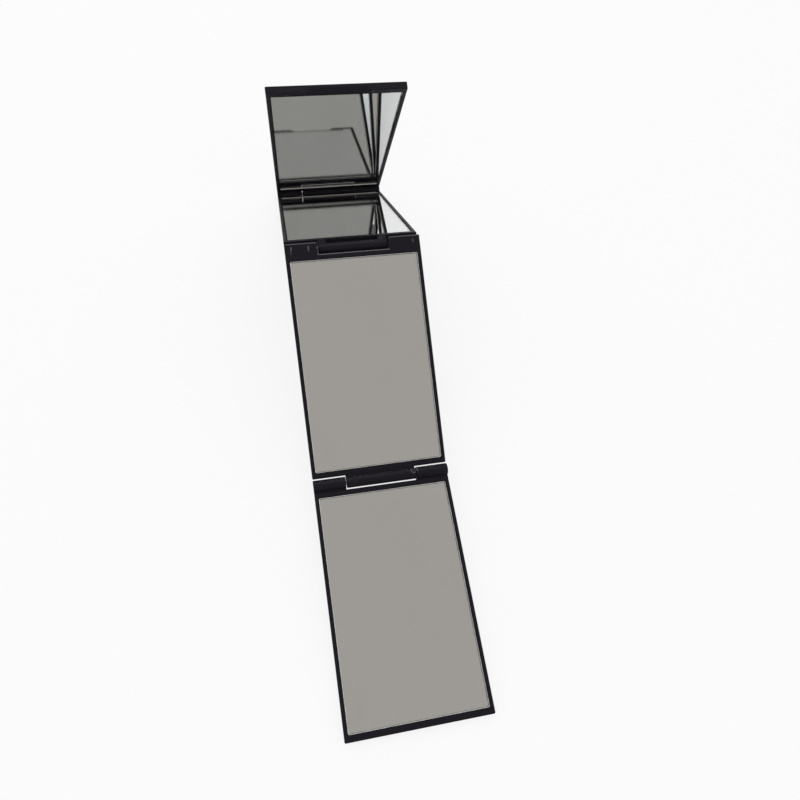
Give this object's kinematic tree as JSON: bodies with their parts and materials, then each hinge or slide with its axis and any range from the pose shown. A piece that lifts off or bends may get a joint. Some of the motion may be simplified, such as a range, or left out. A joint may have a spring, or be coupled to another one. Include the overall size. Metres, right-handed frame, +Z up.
{
  "type": "folding mirror",
  "caption": "Folding pocket mirror: thin black plastic trays holding glass mirrors, joined by interleaved pin hinges so they stand as a zigzag or fold into a flat pack.",
  "frame": {"origin": "middle of the standing footprint, on the table", "axes": "+X across the panels' width, +Y from the lowest panel's free edge towards the upright panel, +Z up"},
  "size_m": [0.054, 0.2576, 0.0862],
  "materials": {
    "body": "satin black injection moulding",
    "glass": "clear float glass with a seamed edge",
    "silvering": "silver coating on the back of the glass",
    "adhesive": "thin foam bonding sheet",
    "pins": "plain drawn wire"
  },
  "bodies": {
    "panel_1": {"panel_1_tray": "body", "panel_1_glass": "glass", "panel_1_silvering": "silvering", "panel_1_adhesive": "adhesive", "hinge_1_pin_left": "pins", "hinge_1_pin_right": "pins"},
    "panel_2": {"panel_2_tray": "body", "panel_2_glass": "glass", "panel_2_silvering": "silvering", "panel_2_adhesive": "adhesive", "hinge_2_pin_left": "pins", "hinge_2_pin_right": "pins"},
    "panel_3": {"panel_3_tray": "body", "panel_3_glass": "glass", "panel_3_silvering": "silvering", "panel_3_adhesive": "adhesive", "hinge_3_pin_left": "pins", "hinge_3_pin_right": "pins"},
    "panel_4": {"panel_4_tray": "body", "panel_4_glass": "glass", "panel_4_silvering": "silvering", "panel_4_adhesive": "adhesive"}
  },
  "joints": [
    {"name": "hinge_1", "type": "hinge", "parent": "panel_1", "child": "panel_2", "pos_m": [0, -0.03899, 0.01197], "axis": [1, 0, 0], "range_deg": [-20.3, 159.7]},
    {"name": "hinge_2", "type": "hinge", "parent": "panel_2", "child": "panel_3", "pos_m": [0, 0.04622, 0.04936], "axis": [1, 0, 0], "range_deg": [-121.5, 58.5]},
    {"name": "hinge_3", "type": "hinge", "parent": "panel_3", "child": "panel_4", "pos_m": [0, 0.12649, 0.0023], "axis": [1, 0, 0], "range_deg": [-146.7, 33.3]}
  ]
}
